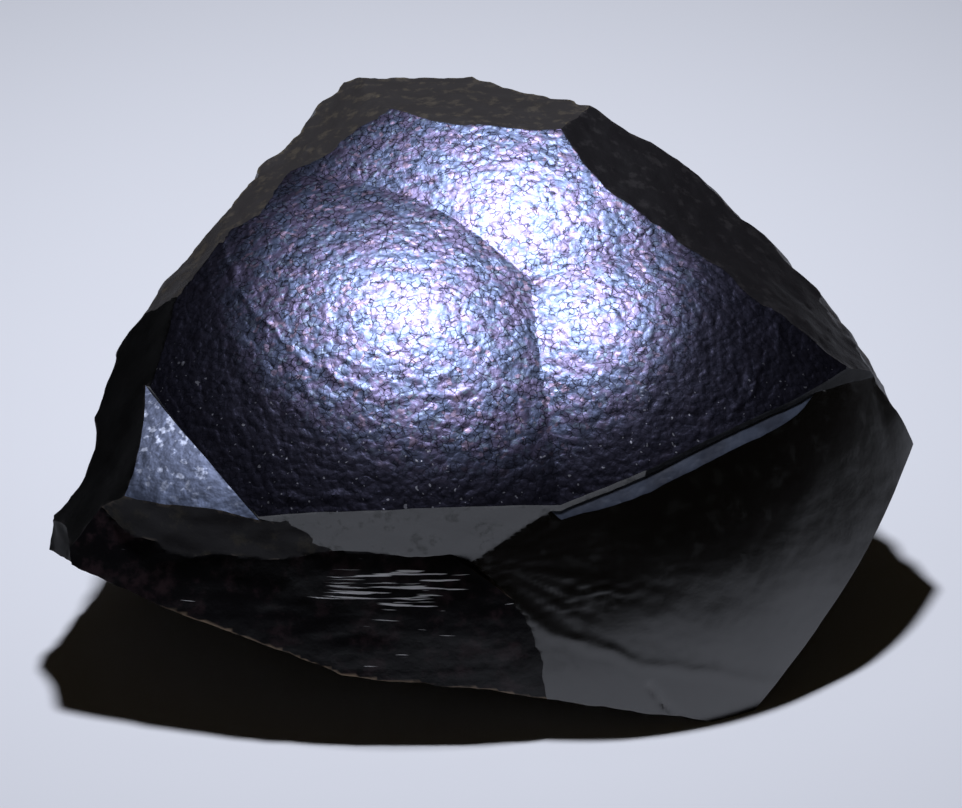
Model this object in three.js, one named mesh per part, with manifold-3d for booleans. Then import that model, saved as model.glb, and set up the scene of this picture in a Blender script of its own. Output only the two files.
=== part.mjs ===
// A hand-sized lump of botryoidal hematite ("kidney ore").
// Three low kidney domes grew side by side and meet in sharp grooves. The lump was broken out of a larger
// crust, so every other side is a fracture face: gently bent, slightly uneven, meeting its neighbours in
// crisp edges. The outermost growth layer has spalled back in front and bares the layer under it as a
// narrow ledge on the left and a thin crescent on the right.
// Millimetres. +X to the right along the longest extent, +Y to the back, +Z up; it rests on its small base.
import * as THREE from 'three';
import { mergeVertices } from 'three/addons/utils/BufferGeometryUtils.js';
import Module from 'manifold-3d';

const wasm = await Module();
wasm.setup();

// ---------------------------------------------------------------- driving dimensions
const ORIGIN = [0.38, 27.03, 0];   // the middle of the footprint, seen from where the stone is laid out
const CELL = 2.3;            // side of the little facets that carry the unevenness
const LAYER = 0.45;          // thickness of the growth layer that has spalled off in front
const DOME_DETAIL = 26;      // how finely each dome's ball is divided
const CLEAVER_SIZE = 120;    // width and height of the block that carries a fracture face
const CLEAVER_DEPTH = 70;    // how far such a block reaches away from the stone
const TWIST_FROM = 8;        // how far to its right a twisted face begins to lean back
const TWIST_OVER = 14;       // over what width the lean grows to its full slope

// Each dome is part of a big ball: centre and radius.
const DOME_LEFT = { centre: [-6.8, 38.4, -14.2], radius: 51.8, seed: 3 };
const DOME_BACK = { centre: [5.8, 57.3, -22.7], radius: 66, seed: 7 };
const DOME_RIGHT = { centre: [11.2, 37.8, -10.6], radius: 47.2, seed: 11 };
const DOME_LEDGE = { centre: [-22.5, 27.1, -17.8], radius: 45.6, seed: 5 };

// A fracture face: a point it runs through, where it looks (azimuth from the front toward the right,
// elevation up from the horizontal, degrees), how it bends along its width and its height
// (radius, positive swells outward, 0 is straight) and how uneven it is. A twist is the slope by which its
// right end leans back.
const SPALL_FACES = [
  { name: 'spall wall, front', through: [-5.8, 2.2, 18], azimuth: 2.2, elevation: 0, bend: [68.6, 0], uneven: 0.12 },
  { name: 'spall wall, right', through: [30, 15.6, 26], azimuth: 41.5, elevation: 0, bend: [53.6, 0], uneven: 0.12 },
  { name: 'spall wall, left', through: [-26.6, 9.9, 23.2], azimuth: -49.8, elevation: 10, bend: [59.4, 0], uneven: 0.12 },
];

// Under the spalled layer the front swells in three lobes that meet in shallow valleys.
const LOWER_LOBES = [
  [
    { name: 'front left', through: [-1.5, 0.1, 12.7], azimuth: 4, elevation: 24, bend: [110, 50], uneven: 0.5 },
    { name: 'front left, end', through: [6.5, -0.2, 9.8], azimuth: 75, elevation: 42, bend: [0, 36], uneven: 0 },
  ],
  [
    { name: 'front far left', through: [-27.1, 3.8, 15], azimuth: -15, elevation: 7, bend: [49, 0], uneven: 0.5 },
    { name: 'front far left, end', through: [-8, 2, 12], azimuth: 65, elevation: 10, bend: [0, 0], uneven: 0 },
  ],
  [
    { name: 'front right', through: [21.2, 4.7, 18.1], azimuth: 21.8, elevation: 23.1, bend: [36, 62], uneven: 0.2,
      twist: 0.15 },
  ],
];
const OUTER_FACES = [
  { name: 'left end', through: [-32.4, 11.6, 23.4], azimuth: -75, elevation: 43.7, bend: [0, 0], uneven: 0.4 },
  { name: 'rim, left', through: [-27.1, 30.1, 32.0], azimuth: -93.5, elevation: 49.1, bend: [0, 0], uneven: 0.3 },
  { name: 'rim, upper left', through: [-15.4, 42, 37.7], azimuth: -91, elevation: 67.7, bend: [0, 0], uneven: 0.3 },
  { name: 'rim, top', through: [-2.3, 42, 40.7], azimuth: 0, elevation: 98, bend: [0, 0], uneven: 0.3 },
  { name: 'rim, right', through: [20.9, 27.5, 34.4], azimuth: 93.5, elevation: 62.4, bend: [-117, 92], uneven: 0.3 },
  { name: 'back', through: [-7, 54, 37], azimuth: 180, elevation: 10, bend: [0, 120], uneven: 0.8 },
  { name: 'back, upper right', through: [4.6, 49.5, 39.7], azimuth: 148, elevation: 22, bend: [0, 0], uneven: 0.4 },
  { name: 'back, right', through: [35.1, 28.7, 24.7], azimuth: 108.2, elevation: 31.3, bend: [120, 60], uneven: 0.6 },
  { name: 'back, lower right', through: [27, 42, 14], azimuth: 136, elevation: 2, bend: [90, 90], uneven: 0.8 },
  { name: 'back, left', through: [-24.0, 38.9, 33.2], azimuth: -118, elevation: 22.7, bend: [0, 150], uneven: 0.6 },
  { name: 'back, lower left', through: [-38, 17.6, 18.9], azimuth: -110, elevation: 2.5, bend: [0, 0], uneven: 0.5 },
  { name: 'under right', through: [34.4, 10.6, 8.3], azimuth: 71.9, elevation: -29.5, bend: [150, 150], uneven: 0.3 },
  { name: 'under front', through: [2.6, -1.6, 4.1], azimuth: -15, elevation: -57.3, bend: [0, 0], uneven: 0.4 },
  { name: 'under front left', through: [-25.1, 3.0, 9.5], azimuth: -36, elevation: -53, bend: [0, 0], uneven: 0.4 },
  { name: 'under left', through: [-35, 27, 6], azimuth: -112, elevation: -36, bend: [120, 120], uneven: 0.7 },
  { name: 'under back', through: [0, 52, 8], azimuth: 178, elevation: -36, bend: [120, 120], uneven: 0.8 },
];

// Small shell-shaped chips off the edges: centre and radius of the hollow.
const CHIPS = [
  { centre: [-44.8, 17.0, 19.6], radius: 8.5 },
  { centre: [-44.6, 5.6, 14.6], radius: 6.6 },
  { centre: [17.9, -3.0, 0.2], radius: 2.2 },
];

// ---------------------------------------------------------------- unevenness
function hash(i, j, seed) {
  const s = Math.sin(i * 127.1 + j * 311.7 + seed * 74.7) * 43758.5453;
  return s - Math.floor(s);
}

function smoothNoise(u, v, seed) {
  const i = Math.floor(u);
  const j = Math.floor(v);
  const a = (u - i) * (u - i) * (3 - 2 * (u - i));
  const b = (v - j) * (v - j) * (3 - 2 * (v - j));
  const low = hash(i, j, seed) * (1 - a) + hash(i + 1, j, seed) * a;
  const high = hash(i, j + 1, seed) * (1 - a) + hash(i + 1, j + 1, seed) * a;
  return 2 * (low * (1 - b) + high * b) - 1;
}

function unevenness(u, v, seed) {
  return 0.7 * smoothNoise(u / 13, v / 9, seed) + 0.3 * smoothNoise(u / 5, v / 5, seed + 1);
}

// ---------------------------------------------------------------- solids
function closed(geometry) {
  geometry.deleteAttribute('normal');
  geometry.deleteAttribute('uv');
  const merged = mergeVertices(geometry, 1e-4);
  return new wasm.Manifold(new wasm.Mesh({
    numProp: 3,
    vertProperties: new Float32Array(merged.attributes.position.array),
    triVerts: new Uint32Array(merged.index.array),
  }));
}

// A kidney dome: a ball whose skin rises and falls very slightly.
function dome({ centre, radius, seed }, sunk = 0) {
  const geometry = new THREE.IcosahedronGeometry(1, DOME_DETAIL);
  const p = geometry.attributes.position;
  const v = new THREE.Vector3();
  for (let i = 0; i < p.count; i += 1) {
    v.fromBufferAttribute(p, i).normalize();
    const swell = 0.1 * Math.sin(9 * v.x + seed) * Math.cos(11 * v.y - seed);
    v.multiplyScalar(radius - sunk + swell);
    p.setXYZ(i, v.x + centre[0], v.y + centre[1], v.z + centre[2]);
  }
  return closed(geometry);
}

// A block lying outside the stone whose near side is the fracture face.
function cleaver({ through, azimuth, elevation, bend, uneven, twist = 0 }, seed) {
  const cells = Math.round(CLEAVER_SIZE / CELL);
  const geometry = new THREE.BoxGeometry(CLEAVER_SIZE, CLEAVER_SIZE, CLEAVER_DEPTH, cells, cells, 1);
  geometry.translate(0, 0, CLEAVER_DEPTH / 2);
  const p = geometry.attributes.position;
  for (let i = 0; i < p.count; i += 1) {
    const u = p.getX(i);
    const v = p.getY(i);
    if (p.getZ(i) < 1) {
      const swellU = bend[0] === 0 ? 0 : (u * u) / (2 * bend[0]);
      const swellV = bend[1] === 0 ? 0 : (v * v) / (2 * bend[1]);
      const lean = twist * v * THREE.MathUtils.clamp((u - TWIST_FROM) / TWIST_OVER, 0, 1) ** 2;
      p.setZ(i, uneven * unevenness(u, v, seed) - swellU - swellV - lean);
    }
  }
  const az = THREE.MathUtils.degToRad(azimuth);
  const el = THREE.MathUtils.degToRad(elevation);
  const out = new THREE.Vector3(Math.sin(az) * Math.cos(el), -Math.cos(az) * Math.cos(el), Math.sin(el));
  const side = new THREE.Vector3(Math.cos(az), Math.sin(az), 0);
  const up = new THREE.Vector3().crossVectors(out, side);
  const placing = new THREE.Matrix4().makeBasis(side, up, out).setPosition(...through);
  geometry.applyMatrix4(placing);
  return closed(geometry);
}

function hollow({ centre, radius }) {
  const geometry = new THREE.IcosahedronGeometry(radius, 6);
  geometry.translate(...centre);
  return closed(geometry);
}

function cleave(solid, faces, seed) {
  return faces.reduce((rest, face, i) => rest.subtract(cleaver(face, seed + 2 * i)), solid);
}

// ---------------------------------------------------------------- the stone
const outerLayer = cleave(dome(DOME_LEFT).add(dome(DOME_BACK)).add(dome(DOME_RIGHT)), SPALL_FACES, 100);
const innerDomes = dome(DOME_LEFT, LAYER).add(dome(DOME_BACK, LAYER)).add(dome(DOME_RIGHT, LAYER));
const innerBody = innerDomes.add(dome(DOME_LEDGE));
const innerLayer = LOWER_LOBES
  .map((faces, i) => cleave(innerBody, faces, 200 + 10 * i))
  .reduce((whole, lobe) => whole.add(lobe));
const upright = cleave(outerLayer.add(innerLayer), OUTER_FACES, 300);

const ground = new THREE.BoxGeometry(400, 400, 200);
ground.translate(0, 0, -100);
const chipped = CHIPS.reduce((rest, chip) => rest.subtract(hollow(chip)), upright.subtract(closed(ground)));
const stone = chipped.translate([-ORIGIN[0], -ORIGIN[1], -ORIGIN[2]]);

const mesh = stone.getMesh();
const geometry = new THREE.BufferGeometry();
geometry.setAttribute('position', new THREE.BufferAttribute(new Float32Array(mesh.vertProperties), 3));
geometry.setIndex(new THREE.BufferAttribute(new Uint32Array(mesh.triVerts), 1));

const hematite = new THREE.Mesh(
  geometry,
  new THREE.MeshStandardMaterial({ color: 0x3a3b44, roughness: 0.42, metalness: 0.6 }),
);
hematite.name = 'hematite';

const group = new THREE.Group();
group.name = 'botryoidal_hematite';
group.add(hematite);
export default group;
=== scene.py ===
# %% [markdown]
# # Botryoidal hematite, a lump of kidney ore
# Hematite that grows outward in water-filled cracks makes a crust of smooth round domes. This lump was broken
# out of such a crust: its top is three low domes of grown skin, and every other side is a fracture face.
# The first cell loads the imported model, which gives the size and the place of everything here.

# %% Load the frame
import math
import bmesh
import bpy
from mathutils import Matrix, Vector, noise


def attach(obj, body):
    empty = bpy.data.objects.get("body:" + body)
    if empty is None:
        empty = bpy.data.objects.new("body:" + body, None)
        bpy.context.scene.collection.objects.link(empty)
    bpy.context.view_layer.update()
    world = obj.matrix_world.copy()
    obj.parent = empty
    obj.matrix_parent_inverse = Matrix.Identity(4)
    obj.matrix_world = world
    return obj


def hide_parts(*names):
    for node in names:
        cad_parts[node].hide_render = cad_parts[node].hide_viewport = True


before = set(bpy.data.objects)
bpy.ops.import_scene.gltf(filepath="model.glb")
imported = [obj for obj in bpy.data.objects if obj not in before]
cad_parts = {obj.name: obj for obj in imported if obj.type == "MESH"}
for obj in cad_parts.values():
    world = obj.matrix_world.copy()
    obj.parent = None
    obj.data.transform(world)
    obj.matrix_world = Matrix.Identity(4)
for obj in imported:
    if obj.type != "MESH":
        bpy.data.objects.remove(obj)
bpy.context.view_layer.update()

MM = 0.001

# %% [markdown]
# ## Camera
# The camera looks down on the stone at 34 degrees, straight from the front. A wide lens close by would swell
# the near side of so small an object. A long lens a third of a metre away keeps its proportions close to the
# true ones.

# %% Place the camera
LOOK_AT = Vector((-0.476, -3.03, 19.492)) * MM
LOOK_DOWN = math.radians(34.0)
CAMERA_DISTANCE = 340.0 * MM
LENS = 132.3
SENSOR_WIDTH = 36.0
camera_data = bpy.data.cameras.new("camera")
camera_data.lens = LENS
camera_data.sensor_width = SENSOR_WIDTH
camera = bpy.data.objects.new("camera", camera_data)
camera.location = LOOK_AT + CAMERA_DISTANCE * Vector((0.0, -math.cos(LOOK_DOWN), math.sin(LOOK_DOWN)))
camera.rotation_euler = (math.radians(90.0) - LOOK_DOWN, 0.0, 0.0)
bpy.context.scene.collection.objects.link(camera)
bpy.context.scene.camera = camera
print("camera at", [round(c, 4) for c in camera.location])

# %% [markdown]
# ## Colours and nodes
# Colours are written as the hex values a colour picker shows. Blender's sockets want linear light, so one
# function turns them. A second one adds a node of any kind. For each kind a table gives Blender's own name,
# the settings, the output that is wanted, and the numbers of the inputs that can't be told apart by name.

# %% Turn a colour into linear light
def linear(hex_colour):
    """An sRGB hex colour as linear red, green, blue and alpha."""
    values = [int(hex_colour[i:i + 2], 16) / 255 for i in (1, 3, 5)]
    return [v / 12.92 if v <= 0.04045 else ((v + 0.055) / 1.055) ** 2.4 for v in values] + [1.0]


print("mid grey is", [round(c, 3) for c in linear("#808080")])

# %% Add a node
KINDS = {
    "place": ("ShaderNodeTexCoord", {}, "Object", {}),
    "sideways": ("ShaderNodeSeparateXYZ", {}, "X", {}),
    "height": ("ShaderNodeSeparateXYZ", {}, "Z", {}),
    "distance": ("ShaderNodeVectorMath", dict(operation="DISTANCE"), "Value", dict(A=0, B=1)),
    "shift": ("ShaderNodeVectorMath", dict(operation="MULTIPLY_ADD"), "Vector", dict(A=0, B=1, C=2)),
    "stretch": ("ShaderNodeMapping", dict(vector_type="POINT"), "Vector", {}),
    "noise": ("ShaderNodeTexNoise", {}, "Fac", {}),
    "noise colour": ("ShaderNodeTexNoise", {}, "Color", {}),
    "cell middles": ("ShaderNodeTexVoronoi", dict(feature="SMOOTH_F1"), "Distance", {}),
    "cell edges": ("ShaderNodeTexVoronoi", dict(feature="DISTANCE_TO_EDGE"), "Distance", {}),
    "mark": ("ShaderNodeAttribute", dict(attribute_name="worn_and_lit_edge"), "Fac", {}),
    "range": ("ShaderNodeMapRange", dict(interpolation_type="SMOOTHSTEP"), "Result", {}),
    "multiply": ("ShaderNodeMath", dict(operation="MULTIPLY"), "Value", dict(A=0, B=1)),
    "multiply add": ("ShaderNodeMath", dict(operation="MULTIPLY_ADD"), "Value", dict(A=0, B=1, C=2)),
    "maximum": ("ShaderNodeMath", dict(operation="MAXIMUM"), "Value", dict(A=0, B=1)),
    "mix": ("ShaderNodeMix", dict(data_type="RGBA"), 2, dict(Factor=0, A=6, B=7)),
    "bump": ("ShaderNodeBump", {}, "Normal", {}),
    "surface": ("ShaderNodeBsdfPrincipled", {}, "BSDF", {}),
    "output": ("ShaderNodeOutputMaterial", {}, None, {}),
}


def add(material, kind, **inputs):
    """Add a node with its settings. An input is a value, or the output to link to it. Gives its output."""
    blender_name, settings, output, numbers = KINDS[kind]
    node = material.node_tree.nodes.new(blender_name)
    for name, value in settings.items():
        setattr(node, name, value)
    for name, value in inputs.items():
        socket = node.inputs[numbers.get(name, name.replace("_", " "))]
        if isinstance(value, bpy.types.NodeSocket):
            material.node_tree.links.new(value, socket)
        else:
            socket.default_value = value
    return None if output is None else node.outputs[output]


def blank(name):
    """A material with no nodes yet."""
    material = bpy.data.materials.new(name)
    material.use_nodes = True
    material.node_tree.nodes.clear()
    return material


print(len(KINDS), "kinds of node")

# %% [markdown]
# ## Floor
# The stone lies on a sheet of matt white paper, which only has to be wide enough to fill every view of the
# stone from above. A flat grid does that; its edge needs no thickness.

# %% Floor
FLOOR_SIDE = 0.56
FLOOR_CELLS = 8


def new_object(name, mesh):
    """An object of a finished bmesh, linked to the scene."""
    data = bpy.data.meshes.new(name)
    mesh.to_mesh(data)
    mesh.free()
    thing = bpy.data.objects.new(name, data)
    bpy.context.scene.collection.objects.link(thing)
    return thing


floor_mesh = bmesh.new()
bmesh.ops.create_grid(floor_mesh, x_segments=FLOOR_CELLS, y_segments=FLOOR_CELLS, size=FLOOR_SIDE / 2)
floor = new_object("floor", floor_mesh)
# Uncoated paper: it spreads light evenly to all sides and has almost no gloss.
paper = blank("matt white paper")
paper_surface = add(paper, "surface", Base_Color=linear("#e6e9ea"), Roughness=0.75, Specular_IOR_Level=0.25)
add(paper, "output", Surface=paper_surface)
floor.data.materials.append(paper)
print("floor", FLOOR_SIDE, "m")

# %% [markdown]
# ## Lamp and room
# One small lamp hangs almost straight above the stone, a little behind, so that the domes throw its light to
# the viewer and the broken front stays dark. A big soft box would wash out the grain of the skin. The room is
# dim and a little warm, which shows in the shadow.

# %% Lamp and room
LAMP_AT = Vector((-9.0, 33.0, 250.0)) * MM
LAMP_WIDTH = 26.0 * MM
LAMP_POWER = 0.65
ROOM_STRENGTH = 0.014
lamp_data = bpy.data.lights.new("lamp", "AREA")
lamp_data.shape = "DISK"
lamp_data.size = LAMP_WIDTH
lamp_data.energy = LAMP_POWER
lamp_data.color = linear("#eef0ff")[:3]
lamp = bpy.data.objects.new("lamp", lamp_data)
lamp.location = LAMP_AT
bpy.context.scene.collection.objects.link(lamp)
room = bpy.data.worlds.new("room")
room.use_nodes = True
room.node_tree.nodes["Background"].inputs["Color"].default_value = linear("#d2b890")
room.node_tree.nodes["Background"].inputs["Strength"].default_value = ROOM_STRENGTH
bpy.context.scene.world = room
bpy.context.scene.view_settings.view_transform = "Standard"
print("lamp", round(LAMP_WIDTH / MM), "mm wide,", round(LAMP_AT.z / MM), "mm up")

# %% [markdown]
# ## How the stone is shaped
# A sculptor could push clay about until it looks right. A mason works the other way: start from a mass and
# split faces off it. The second way fits a broken stone, because each fracture face is one even sweep that
# ends in a crisp edge where it meets the next. So every surface is a fine grid, shaped and closed to a block.
# Domes are joined; fracture blocks, the cleavers, are cut away.
#
# All lengths are millimetres, counted from where the stone is laid out; ORIGIN is the middle of its base.

# %% Driving dimensions
ORIGIN = Vector((0.38, 27.03, 0.0))
LAYER = 0.45          # the growth layer that has spalled off in front
CLEAVER_REACH = 60.0  # half the width of a cleaver
CLEAVER_FINE = 28.0   # half the width over which its cells would spread if they were all of the finest size
CLEAVER_DEPTH = 70.0  # how far a cleaver stands out from the stone
TWIST_FROM = 8.0      # how far to its right a twisted face begins to lean back
TWIST_OVER = 14.0     # over what width the lean grows to its full slope
DOME_REACH = math.radians(78.0)   # how far down its ball a dome is drawn, from the top
DOME_FINE = math.radians(31.0)    # the same as CLEAVER_FINE, for a dome
DOME_SWELL = 0.1      # a dome rises and falls this much on its ball
DOME_FOOT = -6.0      # the domes end under the ground plane

# The order of the finishes is the order of the material slots.
FINISHES = ["skin", "bared", "ledge", "spalled", "struck", "conchoidal", "striated", "rough", "weathered",
            "dusty", "clean", "back", "torn"]
print(len(FINISHES), "finishes")

# %% [markdown]
# ## The domes
# A kidney dome grows outward from one point, so it is part of a ball, and a larger one than the stone. A
# lump modelled by eye could pass for it, but where two true balls meet, the groove between them takes its
# curve by itself. Three meet on top; the fourth shows only as a small triangle at the left end. Each has the
# centre and radius of its ball, where its grid is finest (angles from the top, to +X and +Y) and its number
# of cells along a side.

# %% The domes
DOMES = {
    "left": dict(centre=(-6.8, 38.4, -14.2), radius=51.8, seed=3, focus=(-9, -23), cells=230),
    "back": dict(centre=(5.8, 57.3, -22.7), radius=66.0, seed=7, focus=(-3, -13), cells=230),
    "right": dict(centre=(11.2, 37.8, -10.6), radius=47.2, seed=11, focus=(12, -25), cells=230),
    "ledge": dict(centre=(-22.5, 27.1, -17.8), radius=45.6, seed=5, focus=(-9, -27), cells=150),
}
print(len(DOMES), "domes")

# %% [markdown]
# ## The fracture faces
# A fracture face could be drawn point by point, but a broken face swells evenly, so a few numbers say it all:
# a point it runs through, where it looks (azimuth from the front toward +X and elevation, in degrees), the
# radii it bends with across and up (0 is straight), and its unevenness. A twist is the slope by which the
# right end of a face leans back. The spalled edge comes first, then the three lobes under it, then the left
# end and the rims of the domes, the back, and the underside.

# %% The fracture faces in front
SPALL_FACES = [
    dict(through=(-5.8, 2.2, 18), looks=(2.2, 0), bend=(68.6, 0), uneven=0.12, finish="spalled"),
    dict(through=(30, 15.6, 26), looks=(41.5, 0), bend=(53.6, 0), uneven=0.12, finish="torn"),
    dict(through=(-26.6, 9.9, 23.2), looks=(-49.8, 10), bend=(59.4, 0), uneven=0.12, finish="spalled"),
]
LOWER_LOBES = [
    [
        dict(through=(-1.5, 0.1, 12.7), looks=(4, 24), bend=(110, 50), uneven=0.5, finish="striated"),
        dict(through=(6.5, -0.2, 9.8), looks=(75, 42), bend=(0, 36), uneven=0.0, finish="rough"),
    ],
    [
        dict(through=(-27.1, 3.8, 15), looks=(-15, 7), bend=(49, 0), uneven=0.5, finish="rough"),
        dict(through=(-8, 2, 12), looks=(65, 10), bend=(0, 0), uneven=0.0, finish="rough"),
    ],
    [
        dict(through=(21.2, 4.7, 18.1), looks=(21.8, 23.1), bend=(36, 62), uneven=0.2, twist=0.15,
             finish="struck"),
    ],
]
print(len(SPALL_FACES), "faces at the spalled edge,", sum(len(lobe) for lobe in LOWER_LOBES), "on the lobes")

# %% The fracture faces all round
OUTER_FACES = [
    dict(through=(-32.4, 11.6, 23.4), looks=(-75, 43.7), bend=(0, 0), uneven=0.4, finish="clean"),
    dict(through=(-27.1, 30.1, 32.0), looks=(-93.5, 49.1), bend=(0, 0), uneven=0.3, finish="dusty"),
    dict(through=(-15.4, 42, 37.7), looks=(-91, 67.7), bend=(0, 0), uneven=0.3, finish="dusty"),
    dict(through=(-2.3, 42, 40.7), looks=(0, 98), bend=(0, 0), uneven=0.3, finish="dusty"),
    dict(through=(20.9, 27.5, 34.4), looks=(93.5, 62.4), bend=(-117, 92), uneven=0.3, finish="weathered"),
    dict(through=(-7, 54, 37), looks=(180, 10), bend=(0, 120), uneven=0.8, finish="back"),
    dict(through=(4.6, 49.5, 39.7), looks=(148, 22), bend=(0, 0), uneven=0.4, finish="back"),
    dict(through=(35.1, 28.7, 24.7), looks=(108.2, 31.3), bend=(120, 60), uneven=0.6, finish="back"),
    dict(through=(27, 42, 14), looks=(136, 2), bend=(90, 90), uneven=0.8, finish="back"),
    dict(through=(-24.0, 38.9, 33.2), looks=(-118, 22.7), bend=(0, 150), uneven=0.6, finish="back"),
    dict(through=(-38, 17.6, 18.9), looks=(-110, 2.5), bend=(0, 0), uneven=0.5, finish="back"),
    dict(through=(34.4, 10.6, 8.3), looks=(71.9, -29.5), bend=(150, 150), uneven=0.3, finish="conchoidal"),
    dict(through=(2.6, -1.6, 4.1), looks=(-15, -57.3), bend=(0, 0), uneven=0.4, finish="rough"),
    dict(through=(-25.1, 3.0, 9.5), looks=(-36, -53), bend=(0, 0), uneven=0.4, finish="rough"),
    dict(through=(-35, 27, 6), looks=(-112, -36), bend=(120, 120), uneven=0.7, finish="back"),
    dict(through=(0, 52, 8), looks=(178, -36), bend=(120, 120), uneven=0.8, finish="back"),
]
print(len(OUTER_FACES), "faces all round")

# %% [markdown]
# ## Unevenness
# No broken face is a clean sweep. Blender has noise of its own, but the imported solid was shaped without
# Blender, and both have to swell alike. So the slow swells are made of the same small noise as that solid's:
# a value at each corner of a square lattice, blended smoothly in between. The sine makes the values look
# random yet come out the same on every run.

# %% Slow unevenness of a fracture face
def lattice_value(i, j, seed):
    """A value between 0 and 1 that looks random: the digits of a sine, far behind the point."""
    s = math.sin(i * 127.1 + j * 311.7 + seed * 74.7) * 43758.5453
    return s - math.floor(s)


def smooth_noise(u, v, seed):
    """The lattice's values, blended smoothly, between -1 and 1."""
    i = math.floor(u)
    j = math.floor(v)
    a = (u - i) * (u - i) * (3 - 2 * (u - i))
    b = (v - j) * (v - j) * (3 - 2 * (v - j))
    low = lattice_value(i, j, seed) * (1 - a) + lattice_value(i + 1, j, seed) * a
    high = lattice_value(i, j + 1, seed) * (1 - a) + lattice_value(i + 1, j + 1, seed) * a
    return 2 * (low * (1 - b) + high * b) - 1


def unevenness(u, v, seed):
    """Swells 13 mm wide and 9 mm high, with smaller ones of 5 mm on them, between -1 and 1."""
    return 0.7 * smooth_noise(u / 13, v / 9, seed) + 0.3 * smooth_noise(u / 5, v / 5, seed + 1)


print("unevenness at 10, 10:", round(unevenness(10, 10, 300), 3))

# %% [markdown]
# ## Relief of the grown skin
# Each dome is a sheaf of thin needles that end at nearly the same height, which gives its skin the look of
# orange peel. Where the growth halted for a while it left scars and rings, thin broken ridges along the skin.
# A bump alone could draw them, but a ridge in the mesh also shows against the light. So the scars and the
# larger part of the grain are in the mesh, and the material adds the finest. A scar is a line seen from
# above, and a point rises the closer it lies to one.

# %% Height of the grown skin
SCARS = [
    dict(line=((-25.4, 31.5), (-22.7, 23.5), (-20.5, 18.9), (-16.8, 15.1), (-13.0, 12.2)), height=0.12),
    dict(line=((-13.2, 12.5), (-10.3, 11.1), (-8.4, 10.6), (-5.6, 10.4), (-2.2, 10.9), (-0.6, 11.8)),
         height=0.11),
    dict(line=((-13.5, 14.9), (-11.2, 13.0), (-7.5, 11.8), (-3.9, 12.0), (-1.1, 13.3)), height=0.06),
    dict(line=((-19.0, 4.0), (-17.0, 3.5), (-13.0, 2.95), (-9.8, 2.6)), height=0.16),
    dict(line=((27.9, 23.3), (28.1, 21.7), (26.7, 16.6), (22.4, 10.9)), height=0.09),
]
SCAR_WIDTH = 0.24
ELSEWHERE = Vector((9, 9, 9))   # this far away the same noise is different


def distance_to_line(x, y, line):
    """Distance from a point to a line of straight runs, in a plane."""
    nearest = 1e9
    for (ax, ay), (bx, by) in zip(line, line[1:]):
        along = ((x - ax) * (bx - ax) + (y - ay) * (by - ay)) / ((bx - ax) ** 2 + (by - ay) ** 2)
        along = min(1.0, max(0.0, along))
        nearest = min(nearest, math.hypot(x - ax - along * (bx - ax), y - ay - along * (by - ay)))
    return nearest


def skin_height(point):
    """Grain of 2.4 mm and 1 mm, and the scars, which wander and break off here and there."""
    height = 0.045 * noise.noise(point / 2.4) + 0.03 * noise.noise(point / 1.0)
    wander = Vector((noise.noise(point / 3.0), noise.noise(point / 3.0 + ELSEWHERE), 0.0))
    for scar in SCARS:
        away = distance_to_line(point.x + wander.x, point.y + wander.y, scar["line"])
        if away < 3 * SCAR_WIDTH:
            broken = max(0.0, 0.6 + noise.noise(point / 1.3))
            height += scar["height"] * broken * math.exp(-((away / SCAR_WIDTH) ** 2))
    return height


print("skin at a scar:", round(skin_height(Vector((-22.7, 23.7, 32.6))), 3), "mm")

# %% [markdown]
# ## Relief of the fracture faces
# Fracture faces carry what breaking leaves: hackle lines that fan out from where the crack began, stacked
# splinters, lumps and pits. One carved pattern for all of them would look like cast plaster. So each kind of
# break has its own height in millimetres at a place across (u) and up (v) the face, made of two kinds of
# noise whose sizes are given in millimetres too.

# %% Two kinds of noise on a face
def swell(u, v, seed, across, up):
    """Smooth noise between -1 and 1 with swells of a size in mm, across and up the face."""
    return noise.noise(Vector((u / across, v / up, seed)))


def lumps(u, v, seed, across, up, rough=0.9, finer=2.1, layers=4):
    """Layers of smooth noise on each other, each of them finer times finer than the one before."""
    return noise.fractal(Vector((u / across, v / up, seed)), rough, finer, layers)


print("a lump:", round(lumps(1.0, 2.0, 3, 4.5, 3.0), 3))


# %% Nearly smooth breaks
def spalled_height(u, v, seed):
    """The edge of the spalled layer and the wall under it."""
    return 0.04 * swell(u, v, seed, 4, 2) + 0.015 * swell(u, v, seed, 1, 1)


def clean_height(u, v, seed):
    """The dark left end."""
    return 0.10 * swell(u, v, seed, 4, 4) + 0.03 * lumps(u, v, seed, 1, 1, 1.0, 2.0, 3)


print("a clean break:", round(clean_height(3.0, 2.0, 300), 3), "mm")

# %% Shell-shaped breaks
BURST = (-20.0, 0.6)     # where the crack began, across and up the face
STEPS = (-12.5, -3.6)    # a rugged spot where the crack front jumped
STEPS_SIZE = (3.2, 1.3)
RIDGE = ((-19.8, -1.8), (-15.6, -6.7), (-10.6, -9.3), (-8.2, -11.1), (-0.5, -13.8), (4.4, -16.1),
         (12.0, -19.0))
RIDGE_HEIGHT, RIDGE_WIDTH = 0.09, 0.6
CRACK = ((-7.4, -13.4), (-6.2, -15.4), (-4.4, -17.7), (-4.0, -19.5))
CRACK_DEPTH, CRACK_WIDTH = 0.25, 0.3


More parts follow.
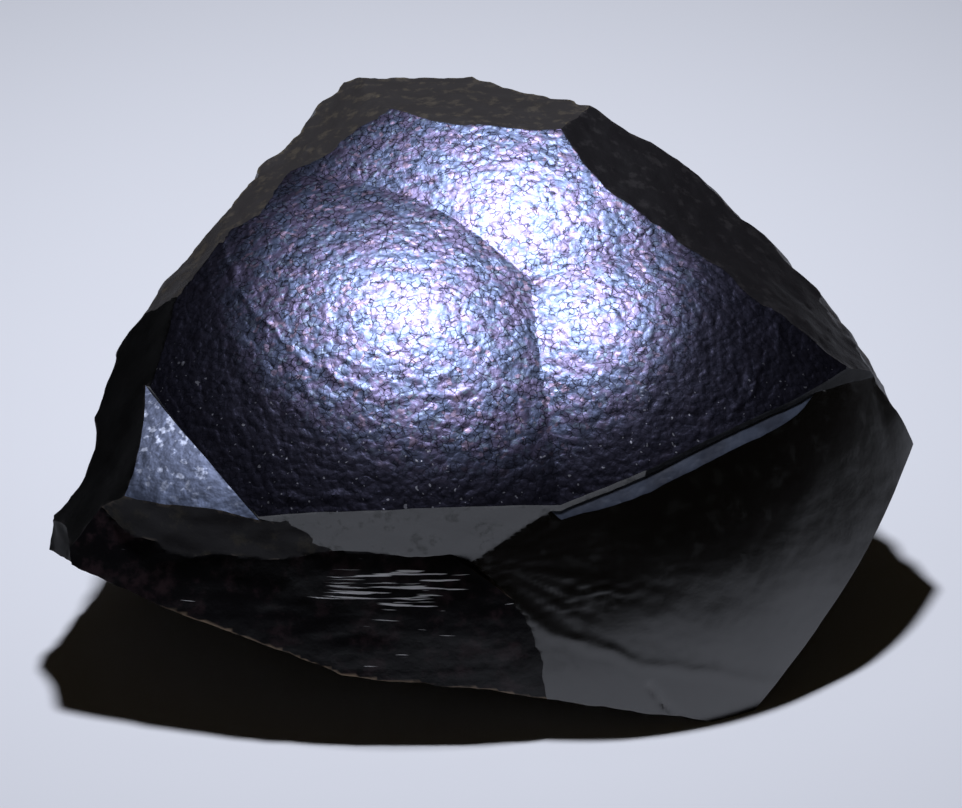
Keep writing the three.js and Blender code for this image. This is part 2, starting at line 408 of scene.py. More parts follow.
def conchoidal_height(u, v, seed):
    """Hackle that fans out from the burst and fades with distance, slow swells, and the rugged spot."""
    away = math.hypot(u - BURST[0], v - BURST[1])
    angle = math.atan2(v - BURST[1], u - BURST[0])
    hackle = swell(angle * 9, away, seed, 1, 14) + 0.5 * swell(angle * 30, away, seed, 1, 6)
    height = (0.009 + 0.07 * math.exp(-away / 7)) * hackle
    height += 0.03 * swell(u, v, seed, 3.5, 3.5) + 0.010 * swell(u, v, seed, 1, 1)
    rugged = math.exp(-(((u - STEPS[0]) / STEPS_SIZE[0]) ** 2 + ((v - STEPS[1]) / STEPS_SIZE[1]) ** 2))
    return height + 0.16 * rugged * swell(u, v, seed, 1.3, 0.6)


def struck_height(u, v, seed):
    """The front right face: the same relief, with its ridge and the crack that runs to the edge."""
    ridge = distance_to_line(u, v + 0.3 * swell(u, v, seed, 2, 2), RIDGE)
    crack = distance_to_line(u + 0.15 * swell(v, v, seed, 1, 1), v, CRACK)
    ridge_height = RIDGE_HEIGHT * math.exp(-((ridge / RIDGE_WIDTH) ** 2))
    crack_depth = CRACK_DEPTH * math.exp(-((crack / CRACK_WIDTH) ** 2))
    return conchoidal_height(u, v, seed) + ridge_height - crack_depth


print("on the ridge:", round(struck_height(-8.2, -11.1, 220), 3), "mm")


# %% Uneven breaks
def striated_height(u, v, seed):
    """Long flat splinters, stacked 0.7 mm apart, over lumps."""
    wavy = v + 0.4 * swell(u, v, seed, 6, 4)
    return 0.06 * swell(u, wavy, seed, 6, 0.7) + 0.16 * lumps(u, v, seed, 4.5, 3, 1.0)


def rough_height(u, v, seed):
    """Lumps in five sizes."""
    return 0.24 * lumps(u, v, seed, 4.5, 2.8, layers=5)


def weathered_height(u, v, seed):
    """Slow swells and lumps, with pits where grains have fallen out."""
    pits = max(0.0, swell(u, v, seed + 5, 1.1, 1.1) - 0.35)
    uneven = 0.20 * swell(u, v, seed + 3, 6.0, 6.0) + 0.13 * lumps(u, v, seed, 3.0, 3.0, 0.9, 2.2, 5)
    return uneven - 0.30 * pits


def back_height(u, v, seed):
    """Wedges of needles side by side, each broken off at its own length, with fine needles over them."""
    sway = u + 1.5 * swell(u, v, seed + 2, 9, 9)
    wedges = abs(swell(sway, v, seed, 3.2, 15)) - 0.25
    return wedges + 0.12 * swell(sway, v, seed, 0.9, 9) + 0.40 * lumps(u, v, seed, 6, 6)


print("a needle of the back:", round(back_height(3.0, 2.0, 310), 3), "mm")

# %% The breaks
# The relief of each finish, and how many cells along a side a grid needs to carry it.
BREAKS = dict(
    spalled=(spalled_height, 120),
    torn=(spalled_height, 120),
    struck=(struck_height, 190),
    conchoidal=(conchoidal_height, 110),
    striated=(striated_height, 150),
    rough=(rough_height, 130),
    weathered=(weathered_height, 140),
    dusty=(weathered_height, 140),
    clean=(clean_height, 110),
    back=(back_height, 115),
)
print(len(BREAKS), "kinds of fracture face")


# %% [markdown]
# ## Grid blocks
# Each surface starts as a flat grid from -1 to 1. Its rim is extruded and the open end closed, so it is a
# solid block, and only then are its points moved into place. An even grid would waste its cells where the
# surface is cut away. So a fifth power spreads the outer cells: small ones are left where it shows.

# %% A closed block from a shaped grid
def spread(t, focus, fine, reach):
    """Where grid line t (-1 to 1) goes: the finest cells at the focus, the widest at -reach and reach."""
    side = 1 if t > 0 else -1
    return focus + fine * t + (side * reach - focus - side * fine) * abs(t) ** 5


def grid_block(name, cells, finish, surface_point, far_point):
    """A closed block whose near side follows surface_point and whose far side follows far_point."""
    mesh = bmesh.new()
    bmesh.ops.create_grid(mesh, x_segments=cells, y_segments=cells, size=1.0)
    rim = [edge for edge in mesh.edges if edge.is_boundary]
    walls = bmesh.ops.extrude_edge_only(mesh, edges=rim)["geom"]
    far = {part for part in walls if isinstance(part, bmesh.types.BMVert)}
    bmesh.ops.holes_fill(mesh, edges=[edge for edge in mesh.edges if edge.is_boundary], sides=0)
    for vertex in mesh.verts:
        s, t = vertex.co.x, vertex.co.y
        vertex.co = far_point(s, t) if vertex in far else surface_point(s, t)
    for face in mesh.faces:
        face.material_index = FINISHES.index(finish)
        face.smooth = True
    bmesh.ops.recalc_face_normals(mesh, faces=mesh.faces)
    if mesh.calc_volume(signed=True) < 0:
        bmesh.ops.reverse_faces(mesh, faces=mesh.faces)
    return new_object(name, mesh)


print("grid line 0.9 of a cleaver lies at", round(spread(0.9, 0.0, CLEAVER_FINE, CLEAVER_REACH), 1), "mm")

# %% [markdown]
# ## A dome's block
# A whole sphere has most of its points where nobody sees them. Here a flat grid is laid over the top of the
# ball. Each of its points keeps its direction and distance from the top, so the cells stay nearly square.
# The far side hangs straight down to a foot under the ground plane.

# %% A dome
def make_dome(key, finish="skin", sunk=0.0, cells=None):
    """The block of a dome. Sunk is how far it lies under the skin."""
    dome = DOMES[key]
    centre = Vector(dome["centre"])
    seed = dome["seed"]
    focus = [math.radians(angle) for angle in dome["focus"]]

    def surface_point(s, t):
        across = spread(s, focus[0], DOME_FINE, DOME_REACH)
        along = spread(t, focus[1], DOME_FINE, DOME_REACH)
        tilt = math.hypot(across, along)
        turn = math.sin(tilt) / tilt if tilt > 1e-9 else 1.0
        out = Vector((across * turn, along * turn, math.cos(tilt)))
        rise = DOME_SWELL * math.sin(9 * out.x + seed) * math.cos(11 * out.y - seed)
        smooth = centre + out * (dome["radius"] - sunk + rise)
        return smooth + out * skin_height(smooth)

    def far_point(s, t):
        top = surface_point(s, t)
        return Vector((top.x, top.y, min(DOME_FOOT, top.z - 1.0)))

    return grid_block("dome " + key, cells or dome["cells"], finish, surface_point, far_point)


left_dome = make_dome("left")
print("left dome:", len(left_dome.data.polygons), "faces")

# %% [markdown]
# ## A cleaver's block
# A plane would cut a flat face. A cleaver's near side is the fracture face itself: its bend, its lean, its
# unevenness and its relief, all counted outward from the plane the face lies in. It reaches far past the
# stone on every side, so that only the near side ever touches it.

# %% A cleaver
def make_cleaver(face, seed):
    """The block that is cut away to leave one fracture face."""
    azimuth, elevation = [math.radians(angle) for angle in face["looks"]]
    out = Vector((math.sin(azimuth) * math.cos(elevation), -math.cos(azimuth) * math.cos(elevation),
                  math.sin(elevation)))
    side = Vector((math.cos(azimuth), math.sin(azimuth), 0.0))
    up = out.cross(side)
    through = Vector(face["through"])
    height, cells = BREAKS[face["finish"]]
    curve = [0.5 / radius if radius else 0.0 for radius in face["bend"]]

    def in_plane(s, t):
        return spread(s, 0.0, CLEAVER_FINE, CLEAVER_REACH), spread(t, 0.0, CLEAVER_FINE, CLEAVER_REACH)

    def surface_point(s, t):
        u, v = in_plane(s, t)
        lean = face.get("twist", 0.0) * v * min(1.0, max(0.0, (u - TWIST_FROM) / TWIST_OVER)) ** 2
        lift = face["uneven"] * unevenness(u, v, seed) - curve[0] * u * u - curve[1] * v * v - lean
        return through + side * u + up * v + out * (lift + height(u, v, seed))

    def far_point(s, t):
        u, v = in_plane(s, t)
        return through + side * u + up * v + out * CLEAVER_DEPTH

    return grid_block("cleaver", cells, face["finish"], surface_point, far_point)


OUTER_SEED = 100
spall_cleavers = [make_cleaver(face, OUTER_SEED + 2 * i) for i, face in enumerate(SPALL_FACES)]
print("cleavers for the spalled edge:", [len(block.data.polygons) for block in spall_cleavers], "faces")


# %% [markdown]
# ## The outer growth layer
# The stone grew in layers. The outermost one, under half a millimetre thick, has spalled off in front. It
# could be a thin shell laid over a body, but a thin shell is easily torn by a Boolean. Two solids are safer.
# This one is made of the whole domes and cut back by the spall faces. The Boolean modifier's manifold solver
# is quick on dense closed meshes and keeps each face's material slot, so a face still knows which finish it
# has after thirty cuts.

# %% The outer growth layer
def combine(whole, operation, tools):
    """Join the tools to an object or cut them from it, and clear them away."""
    for tool in tools:
        step = whole.modifiers.new(operation, "BOOLEAN")
        step.operation = operation
        step.object = tool
        step.solver = "MANIFOLD"
    result = bpy.data.meshes.new_from_object(whole.evaluated_get(bpy.context.evaluated_depsgraph_get()))
    whole.modifiers.clear()
    whole.data = result
    for tool in tools:
        bpy.data.objects.remove(tool)
    return whole


outer = combine(left_dome, "UNION", [make_dome("back"), make_dome("right")])
outer = combine(outer, "DIFFERENCE", spall_cleavers)
print("outer layer:", len(outer.data.polygons), "faces")

# %% [markdown]
# ## The body under it
# The second solid is made of the same domes, sunk by the layer's thickness, and of the small dome at the left
# end. Under the spalled layer the front broke in three lobes that meet in shallow valleys. A valley could be
# carved, but it is simply what is left between two swells: so the body is split three times, once for each
# lobe, and the three are joined.

# %% The body and its three lobes
LOBE_SEED = 200
UNDER_CELLS = 120     # the left and the back dome hardly show under the skin, so their grids are coarse
CRESCENT_CELLS = 170


def copy_of(whole):
    """A second object with a mesh of its own."""
    twin = whole.copy()
    twin.data = whole.data.copy()
    bpy.context.scene.collection.objects.link(twin)
    return twin


def cleave(whole, faces, seed):
    """Split an object along each face in turn."""
    return combine(whole, "DIFFERENCE", [make_cleaver(face, seed + 2 * i) for i, face in enumerate(faces)])


inner = combine(make_dome("left", "bared", LAYER, UNDER_CELLS), "UNION",
                [make_dome("back", "bared", LAYER, UNDER_CELLS),
                 make_dome("right", "bared", LAYER, CRESCENT_CELLS),
                 make_dome("ledge", "ledge")])
lobes = [cleave(copy_of(inner), faces, LOBE_SEED + 10 * i) for i, faces in enumerate(LOWER_LOBES)]
bpy.data.objects.remove(inner)
print("lobes:", [len(lobe.data.polygons) for lobe in lobes], "faces")

# %% [markdown]
# ## The outline
# Joined, the two solids leave the step of the spalled layer between them. Then the rims, the back and the
# underside are split off. Doing this last gives both solids the same outline, without a seam.

# %% Rims, back and underside
OUTLINE_SEED = 300
stone = combine(outer, "UNION", lobes)
stone = cleave(stone, OUTER_FACES, OUTLINE_SEED)
print("split stone:", len(stone.data.polygons), "faces")

# %% [markdown]
# ## Chips and the flat base
# A chip flies off an edge as a shell and leaves a small hollow, the dent of a lumpy ball, so a ball is cut
# away. The base is where the stone rests. One large block under the ground plane cuts it flat, so that the
# stone stands still.

# %% Chips and ground
CHIPS = [
    dict(centre=(-44.8, 17.0, 19.6), radius=8.5),
    dict(centre=(-44.6, 5.6, 14.6), radius=6.6),
    dict(centre=(17.9, -3.0, 0.2), radius=2.2),
]
GROUND_SIDE = 200.0


def make_hollow(chip):
    """A ball with lumps of 2.4 mm and 0.8 mm."""
    mesh = bmesh.new()
    bmesh.ops.create_icosphere(mesh, subdivisions=5, radius=chip["radius"])
    for vertex in mesh.verts:
        lump = 0.40 * noise.noise(vertex.co / 2.4) + 0.12 * noise.noise(vertex.co / 0.8)
        vertex.co += vertex.normal * lump
    bmesh.ops.translate(mesh, verts=mesh.verts, vec=chip["centre"])
    for face in mesh.faces:
        face.material_index = FINISHES.index("conchoidal")
        face.smooth = True
    return new_object("hollow", mesh)


def make_ground():
    """A block whose top is the ground plane."""
    mesh = bmesh.new()
    bmesh.ops.create_cube(mesh, size=GROUND_SIDE)
    bmesh.ops.translate(mesh, verts=mesh.verts, vec=(0, 20, -GROUND_SIDE / 2))
    for face in mesh.faces:
        face.material_index = FINISHES.index("back")
    return new_object("ground", mesh)


stone = combine(stone, "DIFFERENCE", [make_hollow(chip) for chip in CHIPS] + [make_ground()])
stone.name = "botryoidal_hematite"
stone.data.name = "botryoidal_hematite"
stone.data.transform(Matrix.Scale(MM, 4) @ Matrix.Translation(-ORIGIN))
print("stone:", len(stone.data.polygons), "faces")

# %% [markdown]
# ## Crisp edges
# A bevel would round the edges, but a break in hard stone leaves them sharp. So where two surfaces meet at
# more than about thirty degrees the edge is only marked sharp, and the shading breaks there. Handling rubs
# and bruises exactly those edges, and they catch the light. So their points also get a mark, which fades
# over one cell, and the materials turn it into pale or brown colour: scuffing, and a painted highlight
# along the edges.

# %% Mark sharp edges, for wear and painted edge highlights
SHARP = math.radians(30)
stone.data.set_sharp_from_angle(angle=SHARP)
sharp_mesh = bmesh.new()
sharp_mesh.from_mesh(stone.data)
on_edge = {v.index for edge in sharp_mesh.edges if not edge.smooth for v in edge.verts}
sharp_mesh.free()
worn_and_lit_edge = stone.data.attributes.new("worn_and_lit_edge", "FLOAT", "POINT")
worn_and_lit_edge.data.foreach_set("value", [1.0 if v.index in on_edge else 0.0 for v in stone.data.vertices])
print("points on sharp edges:", len(on_edge))

# %% [markdown]
# ## Patterns
# Pebbles could be a noise, but noise has no edges. Voronoi cells do: the square of the distance to a cell's
# middle is a round pebble, and the distance to a cell's edge draws the groove between two of them. Noise
# pushes the cells about so that they don't look like a honeycomb.

# %% Pebbles
def per_mm(size):
    """The texture scale that makes one cell of a pattern on Object coordinates this many millimetres."""
    return 1.0 / (size * MM)


WOBBLE = 0.9          # how far the cells are pushed about, as a share of their size


def cells_of(material, place, size, kind):
    """Irregular cells of a size in mm: the distance to the middle or to the edge of a cell."""
    wobble = add(material, "noise colour", Vector=place, Scale=per_mm(size), Detail=3.0)
    moved = add(material, "shift", A=wobble, B=(WOBBLE * size * MM,) * 3, C=place)
    return add(material, kind, Vector=moved, Scale=per_mm(size))


def pebbles(material, place, size):
    """Rounded cells like a cobbled street: 0 on top of a pebble, growing toward the grooves."""
    away = cells_of(material, place, size, "cell middles")
    return add(material, "multiply", A=away, B=away)


def finish_material(material, colour, bump, rough, metallic=0.0, ior=1.5):
    """Join a colour, a bump and a roughness in one shader and send it to the output."""
    surface = add(material, "surface", Base_Color=colour, Roughness=rough, Metallic=metallic, IOR=ior,
                  Normal=bump)
    add(material, "output", Surface=surface)
    return material


print("a pattern of 0.6 mm has the scale", round(per_mm(0.6)))

# %% [markdown]
# ## The grown skin
# Hematite is an iron oxide with a metallic lustre, near black with a cold blue cast. Its skin is as it grew,
# neither broken nor polished. Its needles are far thinner than any render shows, so they are drawn as
# pebbles of 0.6 mm, as coarse as they need to be to show, with a net of grooves between them that is painted
# dark, a painted shade in the creases. In the mesh they would take millions of faces; a bump bends the light
# the same way. A film thinner than a wavelength of light tints single pebbles blue, lavender or pink. Round
# the spot where the lamp's highlight falls the colour is full. Away from it, toward the skirts, it is
# painted darker, a painted falloff of the highlight. On the skirts pale flecks are painted where the skin
# shows small glints, and they are drawn larger than they are too.

# %% Colour of the skin
NET_SIZE = 0.70       # millimetres from groove to groove
GROOVE_WIDTH = 0.11   # as a share of a cell
HIGHLIGHT_MIDDLE = Vector((-2.4, -3.0, 38.0)) * MM   # the lamp's highlight falls round here; the colour is painted brightest here
FULL_COLOUR_WITHIN, PAINTED_DARK_BEYOND = 16.5 * MM, 25.0 * MM
FLECKS_FROM, FLECKS_FULL = 30.0 * MM, 27.0 * MM   # heights


def film_tint(material, place):
    """Blue and lavender in slow clouds, with single pale and pink pebbles."""
    film = add(material, "noise", Vector=place, Scale=per_mm(1.7), Detail=3.0)
    film = add(material, "range", Value=film, From_Min=0.42, From_Max=0.58)
    tint = add(material, "mix", Factor=film, A=linear("#616c87"), B=linear("#6e6885"))
    pale = add(material, "noise", Vector=place, Scale=per_mm(0.7), Detail=3.0)
    pale = add(material, "range", Value=pale, From_Min=0.56, From_Max=0.64)
    tint = add(material, "mix", Factor=pale, A=tint, B=linear("#78859a"))
    pink = add(material, "noise", Vector=place, Scale=per_mm(0.9), Detail=1.0)
    pink = add(material, "range", Value=pink, From_Min=0.62, From_Max=0.68)
    return add(material, "mix", Factor=pink, A=tint, B=linear("#8f8096"))


def painted_groove_shade(material, place):
    """0 in a groove, where dark colour is painted as shade, and 1 outside it; in places the net is broken
    off.
    """
    grooves = cells_of(material, place, NET_SIZE, "cell edges")
    grooves = add(material, "range", Value=grooves, From_Min=0.0, From_Max=GROOVE_WIDTH)
    broken = add(material, "noise", Vector=place, Scale=per_mm(1.1), Detail=3.0)
    broken = add(material, "range", Value=broken, From_Min=0.46, From_Max=0.62)
    return add(material, "maximum", A=grooves, B=broken)


def painted_glint_flecks(material, place):
    """Pale flecks painted where the skin shows small glints, on the skirts only."""
    flecks = add(material, "noise", Vector=place, Scale=per_mm(0.5), Detail=1.0)
    flecks = add(material, "range", Value=flecks, From_Min=0.715, From_Max=0.75)
    skirt = add(material, "height", Vector=place)
    skirt = add(material, "range", Value=skirt, From_Min=FLECKS_FROM, From_Max=FLECKS_FULL)
    return add(material, "multiply", A=flecks, B=skirt)


def skin_colour(material, place):
    """The film's tint, painted darker away from the highlight, with the net of painted groove shade, dust and
    the flecks of painted glints over it.
    """
    # Painted highlight: the colour is full round the highlight and painted darker away from it.
    away = add(material, "distance", A=place, B=HIGHLIGHT_MIDDLE)
    painted_falloff = add(material, "range", Value=away, From_Min=FULL_COLOUR_WITHIN, From_Max=PAINTED_DARK_BEYOND)
    tint = add(material, "mix", Factor=painted_falloff, A=film_tint(material, place), B=linear("#31313d"))
    # Painted shade: the grooves of the net are painted dark.
    colour = add(material, "mix", Factor=painted_groove_shade(material, place), A=linear("#24252f"), B=tint)
    dust = add(material, "noise", Vector=place, Scale=per_mm(2.2), Detail=6.0, Roughness=0.65)
    dust = add(material, "range", Value=dust, From_Min=0.52, From_Max=0.70, To_Max=0.45)
    colour = add(material, "mix", Factor=dust, A=colour, B=linear("#25222a"))
    # Painted glints: pale flecks on the lower skin.
    return add(material, "mix", Factor=painted_glint_flecks(material, place), A=colour, B=linear("#8f9199"))


print("net of", NET_SIZE, "mm, dull beyond", round(PAINTED_DARK_BEYOND / MM), "mm from the middle")

# %% Skin material
PEBBLE_SIZE = 0.62
surface_materials = {}


def grown_skin():
    # A dark metal, a little rough: each pebble throws its own glint of the lamp, and the film colours it.
    material = blank("grown hematite skin")
    place = add(material, "place")
    swells = add(material, "noise", Vector=place, Scale=per_mm(1.3), Detail=1.0)
    bump = add(material, "bump", Height=swells, Distance=0.06 * MM)
    grain = pebbles(material, place, PEBBLE_SIZE)
    bump = add(material, "bump", Height=grain, Distance=-0.085 * MM, Normal=bump)
    crumbs = add(material, "noise", Vector=place, Scale=per_mm(0.3), Detail=1.0)
    bump = add(material, "bump", Height=crumbs, Distance=0.010 * MM, Normal=bump)
    return finish_material(material, skin_colour(material, place), bump, rough=0.435, metallic=1.0)


surface_materials["skin"] = grown_skin()
print("skin:", len(surface_materials["skin"].node_tree.nodes), "nodes")


# %% [markdown]
# ## The bared layer
# Where the outermost layer has spalled off, the layer under it shows: a narrow crescent on the right and the
# triangle on the left. Both grew like the skin but were sealed under it, so they have no coloured film. They
# could share one material, but the crescent is dull, while the triangle has a pale bloom that still shines
# like metal, and its colour is painted paler toward its upper tip, a painted highlight.

# %% Bared layer and ledge
def bared_layer():
    # Grown, but without the skin's film: an even grey blue with a soft sheen instead of glints.
    material = blank("bared growth layer")
    place = add(material, "place")
    cloud = add(material, "noise", Vector=place, Scale=per_mm(3.0), Detail=4.0)
    cloud = add(material, "range", Value=cloud, From_Min=0.40, From_Max=0.65)
    colour = add(material, "mix", Factor=cloud, A=linear("#2b303b"), B=linear("#3a414e"))
    swells = add(material, "noise", Vector=place, Scale=per_mm(1.1), Detail=2.0)
    bump = add(material, "bump", Height=swells, Distance=0.05 * MM)
    bump = add(material, "bump", Height=pebbles(material, place, 0.6), Distance=-0.04 * MM, Normal=bump)
    return finish_material(material, colour, bump, rough=0.42, ior=1.6)


def bared_ledge():
    # A metal under a bloom of tiny crystals: it spreads the lamp's light wide, in pale specks.
    material = blank("bared ledge painted lighter at the top")
    place = add(material, "place")
    cloud = add(material, "noise", Vector=place, Scale=per_mm(2.6), Detail=5.0)
    cloud = add(material, "range", Value=cloud, From_Min=0.40, From_Max=0.62)
    lower = add(material, "mix", Factor=cloud, A=linear("#353b48"), B=linear("#4b5364"))
    bloom = add(material, "noise", Vector=place, Scale=per_mm(0.9), Detail=3.0)
    bloom = add(material, "range", Value=bloom, From_Min=0.55, From_Max=0.66)
    painted_lit_top = add(material, "mix", Factor=bloom, A=linear("#5e6577"), B=linear("#a9b0bf"))
    # Painted highlight: by height the colour turns from the lower one to the pale upper one, toward the upper
    # tip.
    height = add(material, "height", Vector=place)
    height = add(material, "range", Value=height, From_Min=21.0 * MM, From_Max=24.5 * MM)
    colour = add(material, "mix", Factor=height, A=lower, B=painted_lit_top)
    swells = add(material, "noise", Vector=place, Scale=per_mm(1.0), Detail=2.0)
    bump = add(material, "bump", Height=swells, Distance=0.10 * MM)
    bump = add(material, "bump", Height=pebbles(material, place, 0.7), Distance=-0.08 * MM, Normal=bump)
    return finish_material(material, colour, bump, rough=0.58, metallic=1.0)


surface_materials.update(bared=bared_layer(), ledge=bared_ledge())
print("ledge:", len(surface_materials["ledge"].node_tree.nodes), "nodes")


# %% [markdown]
# ## The striated fracture
# Broken hematite is dark steel grey to black. It scatters most of what a grown face would mirror, so it is
# drawn as a dark non-metal. The lobe at the front left broke along its needles. Where it runs just along
# them, bruised splinters catch the lamp's light in short glints, which are painted as white strokes, a
# painted highlight. Drawn one by one they would look ruled; noise that is stretched twenty to one makes them
# irregular. A soft band raises it in one area only, so the strokes thin out instead of ending on a line.
# They are as thick as they need to be to show. Along its foot the sharp edge is painted a pale brown: a
# bruised crumble, and a painted highlight along the edge.

# %% Scuffed edges with painted edge highlights, and white strokes of painted glints
STROKE = (5.0, 5.0, 0.22)             # the size of a stroke in millimetres: long, deep and thin
BAND_LOW = (12.6 * MM, 14.2 * MM)     # the heights between which the strokes set in
BAND_HIGH = (17.4 * MM, 15.8 * MM)    # and between which they end
BAND_LEFT = (-18.0 * MM, -11.0 * MM)  # the same to the left
BAND_RIGHT = (1.5 * MM, -5.5 * MM)    # and to the right


def edge_wear_and_highlight(material, place, size):
    """The mark on sharp edges, broken up by noise so that an edge is scuffed and painted lighter, a painted
    highlight, in places and clean in others.
    """
    spots = add(material, "noise", Vector=place, Scale=per_mm(size), Detail=4.0)
    spots = add(material, "range", Value=spots, From_Min=0.38, From_Max=0.52)
    return add(material, "multiply", A=add(material, "mark"), B=spots)


def stroke_band(material, place):
    """1 in the middle of the area with white strokes, fading to 0 on all sides."""
    height = add(material, "height", Vector=place)
    sideways = add(material, "sideways", Vector=place)
    band = add(material, "range", Value=height, From_Min=BAND_LOW[0], From_Max=BAND_LOW[1])
    for value, (none, full) in ((height, BAND_HIGH), (sideways, BAND_LEFT), (sideways, BAND_RIGHT)):
        part = add(material, "range", Value=value, From_Min=none, From_Max=full)
        band = add(material, "multiply", A=band, B=part)
    return band


def painted_glint_strokes(material, place):
    """1 on a stroke, where a glint is painted white, and 0 beside it."""
    stretched = add(material, "stretch", Vector=place, Scale=[1 / size for size in STROKE])
    strokes = add(material, "noise", Vector=stretched, Scale=per_mm(1.0), Detail=1.0)
    raised = add(material, "multiply add", A=stroke_band(material, place), B=0.22, C=strokes)
    return add(material, "range", Value=raised, From_Min=0.745, From_Max=0.80)


print("strokes", STROKE[0], "mm long and", STROKE[2], "mm thick")


# %% Striated fracture
def striated_break():
    # Near black and barely glossy, warmed by iron dust, so that the white strokes of painted glints stand
    # out.
    material = blank("striated fracture")
    place = add(material, "place")
    dust = add(material, "noise", Vector=place, Scale=per_mm(2.5), Detail=7.0, Roughness=0.65)
    dust = add(material, "range", Value=dust, From_Min=0.48, From_Max=0.66)
    colour = add(material, "mix", Factor=dust, A=linear("#070609"), B=linear("#2a1f22"))
    foot = add(material, "height", Vector=place)
    foot = add(material, "range", Value=foot, From_Min=12.5 * MM, From_Max=11.0 * MM)
    # Along the foot the sharp edge is painted pale brown: bruising, and a painted highlight along the edge.
    bruised_and_lit = add(material, "multiply", A=edge_wear_and_highlight(material, place, 2.5), B=foot)
    colour = add(material, "mix", Factor=bruised_and_lit, A=colour, B=linear("#8f7d69"))
    strokes = painted_glint_strokes(material, place)
    # Painted highlight: the strokes are painted white where splinters catch the lamp.
    colour = add(material, "mix", Factor=strokes, A=colour, B=linear("#ffffff"))
    grain = add(material, "noise", Vector=place, Scale=per_mm(0.8), Detail=5.0, Roughness=0.6)
    bump = add(material, "bump", Height=grain, Distance=0.06 * MM)
    bump = add(material, "bump", Height=strokes, Distance=0.12 * MM, Normal=bump)
    return finish_material(material, colour, bump, rough=0.36, ior=1.34)


surface_materials["striated"] = striated_break()
print("striated:", len(surface_materials["striated"].node_tree.nodes), "nodes")


# %% [markdown]
# ## The other fracture faces
# They differ in how smooth the break is and how much iron dust it carries, so one function makes them all. A
# fresh shell-shaped break is smooth: black where it mirrors the dark room and grey where it mirrors the pale
# floor. The index of refraction says how strongly it mirrors; a break that lies in shade or is furred with
# powder is given a low one. Dust itself is far too fine to draw; its patches of 1.4 to 2.5 mm are what shows.

# %% A general fracture
def fracture(name, fresh, dusty, edge_wear_and_highlight_colour, rough, ior, relief, dust_size=2.5, dull=0.15):
    """A fresh colour, a dusty one in patches, which are duller too, scuffed edges with a painted highlight,
    and a fine relief in mm.
    """
    material = blank(name)
    place = add(material, "place")
    dust = add(material, "noise", Vector=place, Scale=per_mm(dust_size), Detail=7.0, Roughness=0.62)
    dust = add(material, "range", Value=dust, From_Min=0.50, From_Max=0.68)
    colour = add(material, "mix", Factor=dust, A=linear(fresh), B=linear(dusty))
    # The sharp edges get the scuffed colour: wear, and a painted highlight along them.
    colour = add(material, "mix", Factor=edge_wear_and_highlight(material, place, 1.5), A=colour, B=linear(edge_wear_and_highlight_colour))
    roughness = add(material, "range", Value=dust, To_Min=rough, To_Max=rough + dull)
    grain = add(material, "noise", Vector=place, Scale=per_mm(0.9), Detail=5.0, Roughness=0.6)
    bump = add(material, "bump", Height=grain, Distance=relief * MM)
    return finish_material(material, colour, bump, rough=roughness, ior=ior)


# Grainy and a warm dark grey, with brown dust.
surface_materials["rough"] = fracture("rough brown fracture", fresh="#161315", dusty="#3b372f",
                                      edge_wear_and_highlight_colour="#5a5046", rough=0.50, ior=1.30, relief=0.05, dust_size=2.4)
print("rough:", len(surface_materials["rough"].node_tree.nodes), "nodes")

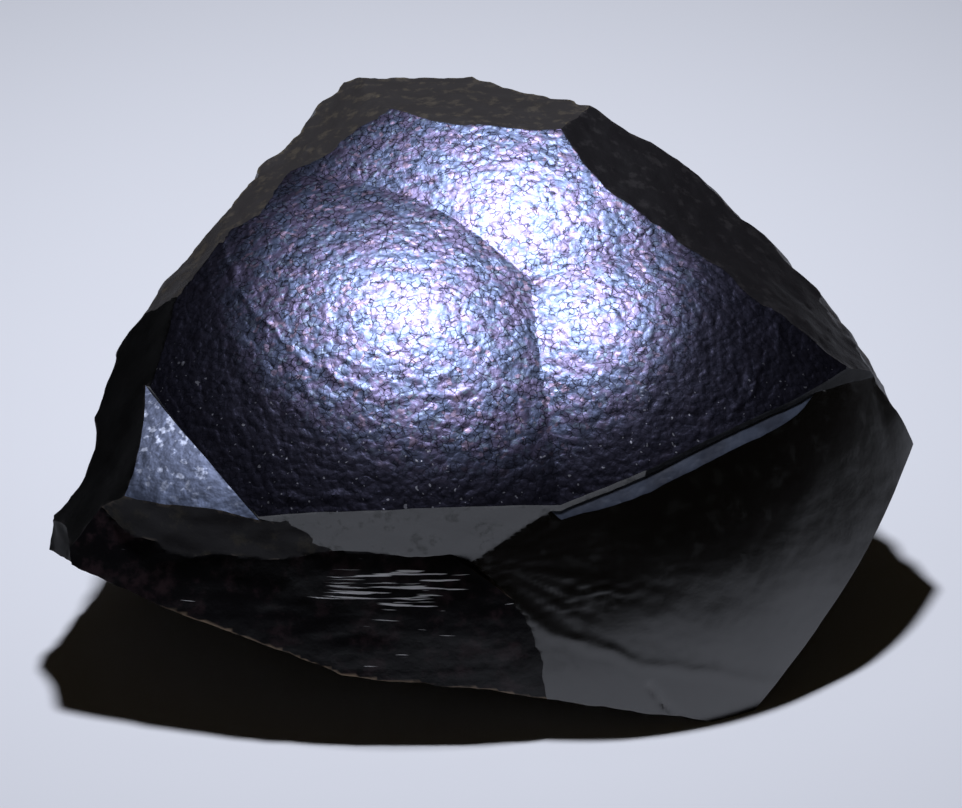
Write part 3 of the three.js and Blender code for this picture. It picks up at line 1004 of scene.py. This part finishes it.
# %% Smooth breaks
surface_materials.update(
    # Grey where it mirrors the floor, with darker dusty spots.
    spalled=fracture("spalled layer edge", fresh="#090b0d", dusty="#303230", edge_wear_and_highlight_colour="#4a4a48",
                     rough=0.28, ior=1.82, relief=0.030, dust_size=1.5, dull=0.30),
    # The thin step over the crescent, in shade: as dark as the skin's skirt beside it.
    torn=fracture("torn layer edge", fresh="#0b0c10", dusty="#14161a", edge_wear_and_highlight_colour="#2c2e34",
                  rough=0.55, ior=1.25, relief=0.02),
    # Glassy: black toward the room and an even grey toward the floor.
    struck=fracture("fresh conchoidal fracture", fresh="#020202", dusty="#090b09", edge_wear_and_highlight_colour="#2c2a28",
                    rough=0.21, ior=1.86, relief=0.010, dust_size=1.8, dull=0.06),
    # The inside of the chips and the shaded side under the right end: black and dull.
    conchoidal=fracture("old conchoidal fracture", fresh="#060606", dusty="#0c0b0b", edge_wear_and_highlight_colour="#2c2a28",
                        rough=0.60, ior=1.28, relief=0.015),
    # The left end: flat black, with almost no reflection.
    clean=fracture("clean dark fracture", fresh="#030303", dusty="#060606", edge_wear_and_highlight_colour="#1c1a1a",
                   rough=0.45, ior=1.15, relief=0.02),
)
print(len(surface_materials), "materials so far")

# %% [markdown]
# ## Rims and back
# These breaks are older and lay open, so iron dust has settled in them. The rims could share one material,
# but the left and top ones hold more dust and are painted lighter, with a painted reflection of a warm
# wall, while the right one has stayed darker. The back is no clean break at all: it runs along the needles
# and shows their ends and sides, which shine a little, like silk.

# %% Rims and back
surface_materials.update(
    # The rim on the right: black with a faint sheen.
    weathered=fracture("weathered rim", fresh="#111012", dusty="#171516", edge_wear_and_highlight_colour="#2e2a28",
                       rough=0.46, ior=1.42, relief=0.05, dust_size=1.6),
    # The rims on the left and on top: grey, with olive brown dust, and lighter by a painted reflection of a
    # warm wall.
    dusty=fracture("dusty rim with painted wall reflection", fresh="#292726", dusty="#38332a", edge_wear_and_highlight_colour="#4a4434",
                   rough=0.50, ior=1.42, relief=0.05, dust_size=1.4),
    # A silky dark grey, with reddish brown dust.
    back=fracture("fibrous back fracture", fresh="#141316", dusty="#241d1a", edge_wear_and_highlight_colour="#4a4038",
                  rough=0.42, ior=1.6, relief=0.06),
)
print(len(surface_materials), "materials")

# %% [markdown]
# ## Finishes on their faces
# The Booleans kept the number of the finish on each face. The slots are filled in the order of those numbers,
# so no face has to be painted by hand. Clearing the slots would reset the numbers, so they are put back.

# %% Give each face its material
kept_slots = [face.material_index for face in stone.data.polygons]
stone.data.materials.clear()
for finish in FINISHES:
    stone.data.materials.append(surface_materials[finish])
stone.data.polygons.foreach_set("material_index", kept_slots)
print("materials:", [slot.name for slot in stone.data.materials])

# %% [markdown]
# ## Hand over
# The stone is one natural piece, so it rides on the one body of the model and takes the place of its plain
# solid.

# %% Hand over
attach(stone, "root")
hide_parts("hematite")
